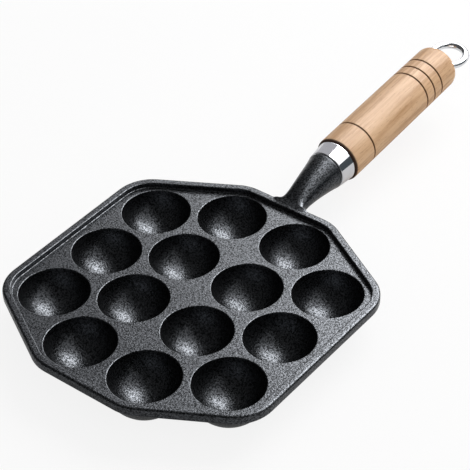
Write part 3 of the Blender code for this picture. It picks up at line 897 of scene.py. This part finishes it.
# %% [markdown]
# The tie rod goes through the whole grip into the neck. Its rear end is bent round into
# a closed eye and welded. The ring is swept round a circle, joined to the rod, and the
# weld is relaxed as the neck's root was.

# %% Tie rod with its eye
EYE_MEAN_RADIUS = 0.01085
EYE_CENTRE = GRIP_REAR - 0.00205 + EYE_MEAN_RADIUS + ROD_RADIUS
RING_STEPS, WIRE_STEPS = 128, 40
WELD_REACH = 0.0016

bm = bmesh.new()
rings = []
for step in range(RING_STEPS):
    turn = 2 * math.pi * step / RING_STEPS
    row = []
    for part in range(WIRE_STEPS):
        angle = 2 * math.pi * part / WIRE_STEPS
        reach = EYE_MEAN_RADIUS + ROD_RADIUS * math.cos(angle)
        row.append(bm.verts.new(HANDLE_FRAME @ Vector((
            ROD_RADIUS * math.sin(angle), reach * math.sin(turn),
            EYE_CENTRE + reach * math.cos(turn)))))
    rings.append(row)
for first, second in zip(rings, rings[1:] + rings[:1]):
    for index in range(WIRE_STEPS):
        after = (index + 1) % WIRE_STEPS
        bm.faces.new((first[index], first[after], second[after], second[index]))
bmesh.ops.recalc_face_normals(bm, faces=bm.faces)
ring_mesh = bpy.data.meshes.new("ring")
bm.to_mesh(ring_mesh)
bm.free()
ring = bpy.data.objects.new("ring", ring_mesh)
bpy.context.scene.collection.objects.link(ring)
rod = rod_blank("rod", ROD_RADIUS, -0.020, EYE_CENTRE - EYE_MEAN_RADIUS, WIRE_STEPS)
combined(rod, 'UNION', ring)
bm = bmesh.new()
bm.from_mesh(rod.data)
weld = HANDLE_FRAME @ Vector((0, 0, EYE_CENTRE - EYE_MEAN_RADIUS - ROD_RADIUS))
near_weld = [vert for vert in bm.verts if (vert.co - weld).length < ROD_RADIUS + WELD_REACH]
for _ in range(6):
    bmesh.ops.smooth_vert(bm, verts=near_weld, factor=0.4, use_axis_x=True, use_axis_y=True,
                          use_axis_z=True)
bm.to_mesh(rod.data)
bm.free()
eye = piece("tie_rod", rod.data.copy(), rod_chrome, "tie_rod", "tie_rod_eye")
bpy.data.objects.remove(rod, do_unlink=True)

# %% [markdown]
# The floor is plain and pale. The camera should see it as white paper, so most of its
# light is its own, and only a share is lit, which keeps a soft shadow under the pan. What
# mirrors the floor near the pan sees it nearly as it is lit, as beside a real pan. Far from
# the pan both fade to the white of the background, so no edge shows.

# %% Floor
FLOOR_RADIUS = 3.0
FLOOR_DROP = 0.00005
SHADOW_NEAR, SHADOW_FAR = 0.25, 0.60
SHADOW_SHARE = 0.14              # of the lit paper, in what the camera sees near the pan
MIRROR_GLOW = 0.1                # of the glow, in what reflections see near the pan

bm = bmesh.new()
bmesh.ops.create_circle(bm, cap_ends=True, segments=96, radius=FLOOR_RADIUS)
bmesh.ops.translate(bm, vec=Vector((0, 0, -FLOOR_DROP)), verts=bm.verts)
floor_mesh = bpy.data.meshes.new("floor")
bm.to_mesh(floor_mesh)
bm.free()
floor = bpy.data.objects.new("floor", floor_mesh)
bpy.context.scene.collection.objects.link(floor)
paper = bpy.data.materials.new("white_paper")
paper.use_nodes = True
tree = paper.node_tree
tree.nodes.remove(tree.nodes["Principled BSDF"])
start = Wire(tree)
seen = start.node("ShaderNodeLightPath", output="Is Camera Ray")
ray = seen.socket.node
mirrored = Wire(tree, ray.outputs["Is Glossy Ray"])
mirrored = mirrored.math('ADD', mirrored, Wire(tree, ray.outputs["Is Transmission Ray"]),
                         clamp=True)
lit = start.node("ShaderNodeBsdfDiffuse", None, {"Color": (0.94, 0.94, 0.94, 1)})
glow = start.node("ShaderNodeEmission", None, {"Color": (1, 1, 1, 1), "Strength": 1.0})
distance = start.node("ShaderNodeVectorMath", {"operation": 'LENGTH'},
                      {0: start.node("ShaderNodeTexCoord", output="Object")}, output="Value")
far = distance.between(SHADOW_NEAR, SHADOW_FAR)
share = (seen * (far * SHADOW_SHARE + (1 - SHADOW_SHARE))
         + mirrored * (far * (1 - MIRROR_GLOW) + MIRROR_GLOW))
surface = start.node("ShaderNodeMixShader", None, {0: share, 1: lit, 2: glow})
tree.links.new(surface.socket, tree.nodes["Material Output"].inputs["Surface"])
floor_mesh.materials.append(paper)
print("floor radius:", FLOOR_RADIUS)

# %% [markdown]
# Light. One round soft box hangs over the handle's end. The photograph's ferrule and cups
# show where it is: each is a small curved mirror, so the place of its bright patch gives
# the direction. A second one at its place is seen by reflections only, so that their
# brightness is set apart from the wood's, and a weak fill lights what turns away from it
# and is seen by no reflection. Around the table stand cards, as in a studio: black ones
# keep the iron black, a grey one draws the soft band on the left of the ferrule, and white
# ones light the neck, the rim and the plate's sand. Only reflections see the cards.

# %% Soft box
AIM = Vector((-0.02, 0, 0.02))
LIGHT_DISTANCE = 1.1
LAMP_PLACE = -8, 45.5            # azimuth and elevation
LAMP_HALF = 25, 25


def direction(azimuth, elevation):
    azimuth, elevation = math.radians(azimuth), math.radians(elevation)
    return Vector((math.cos(elevation) * math.cos(azimuth),
                   math.cos(elevation) * math.sin(azimuth), math.sin(elevation)))


def soft_box(name, azimuth, elevation, half_width, half_height, radiance, distance):
    """A panel whose half sizes are angles seen from the pan, of the given brightness."""
    data = bpy.data.lights.new(name, 'AREA')
    data.shape = 'ELLIPSE'
    data.size = 2 * distance * math.tan(math.radians(half_width))
    data.size_y = 2 * distance * math.tan(math.radians(half_height))
    data.energy = radiance * math.pi * (math.pi / 4 * data.size * data.size_y)
    made = bpy.data.objects.new(name, data)
    bpy.context.scene.collection.objects.link(made)
    way = direction(azimuth, elevation)
    made.location = AIM + way * distance
    made.rotation_mode = 'QUATERNION'
    made.rotation_quaternion = way.to_track_quat('Z', 'Y')
    return made


key = soft_box("soft_box", *LAMP_PLACE, *LAMP_HALF, 3.8, LIGHT_DISTANCE)
shine = soft_box("soft_box_shine", *LAMP_PLACE, *LAMP_HALF, 8.6, LIGHT_DISTANCE * 0.99)
shine.visible_diffuse = False
fill = soft_box("fill", -120, 35, *LAMP_HALF, 0.8, LIGHT_DISTANCE)
fill.visible_glossy = False
print(key.name, round(key.data.energy, 2), "W")

# %% Cards
CARD_DISTANCE = 2.0


def card(name, corners, brightness, tint=(1, 1, 1), distance=CARD_DISTANCE):
    """A flat card between directions (azimuth, elevation), seen by reflections only."""
    points = [AIM + direction(*corner) * distance for corner in corners]
    mesh = bpy.data.meshes.new(name)
    mesh.from_pydata([point[:] for point in points], [], [tuple(range(len(points)))])
    made = bpy.data.objects.new(name, mesh)
    bpy.context.scene.collection.objects.link(made)
    cloth = bpy.data.materials.new(name)
    cloth.use_nodes = True
    tree = cloth.node_tree
    tree.nodes.remove(tree.nodes["Principled BSDF"])
    glow = Wire(tree).node("ShaderNodeEmission", None, {"Color": (*tint, 1),
                                                        "Strength": brightness})
    tree.links.new(glow.socket, tree.nodes["Material Output"].inputs["Surface"])
    mesh.materials.append(cloth)
    made.visible_camera = made.visible_diffuse = made.visible_shadow = False
    made.visible_transmission = made.visible_volume_scatter = False
    return made


card("grey_card", [(-15, -3), (60, -3), (60, 25), (51, 53), (40, 66), (21, 69), (14, 58),
                   (-10, 30)], 0.66, (0.97, 0.96, 1.0))
card("white_card", [(-70, 26), (-40, 20), (-5, 48), (18, 61), (15, 74), (-40, 80), (-80, 68),
                    (-73, 50)], 2.0)
card("zenith_card", [(-100, 66), (-62, 62), (-30, 70), (0, 80), (-120, 84)], 4.5, distance=0.8)
card("plate_card", [(18, 24), (47, 24), (45, 38), (36, 45), (18, 46)], 5.4, distance=1.6)
card("lower_card", [(-25, 4), (-4, 4), (-4, 20), (-25, 20)], 1.2)
card("black_card_low", [(-110, -6), (-25, -6), (-25, 20), (-110, 22)], 0.12, (0.75, 0.9, 1.0), 0.45)
card("black_card_near", [(62, -3), (110, -3), (110, 60), (80, 75), (54, 58), (62, 25)], 0.10)
card("black_card_left", [(110, -3), (170, -3), (170, 60), (110, 60)], 0.10)
card("black_card_front", [(170, -3), (250, -3), (250, 60), (170, 60)], 0.10)
card("black_card_top", [(80, 75), (110, 60), (170, 60), (250, 60), (268, 70), (300, 82)], 0.14)

# %% World
world = bpy.data.worlds.new("studio")
bpy.context.scene.world = world
world.use_nodes = True
tree = world.node_tree
start = Wire(tree)
seen = start.node("ShaderNodeLightPath", output="Is Camera Ray")
ray = seen.socket.node
for name in ("Is Glossy Ray", "Is Transmission Ray"):
    seen = seen.math('ADD', seen, Wire(tree, ray.outputs[name]), clamp=True)
AMBIENT = 0.32
background = tree.nodes["Background"]
background.inputs["Color"].default_value = (1, 1, 1, 1)
tree.links.new((seen * (1 - AMBIENT) + AMBIENT).socket, background.inputs["Strength"])
bpy.context.scene.view_settings.view_transform = 'Standard'
print("world ready, ambient", AMBIENT)
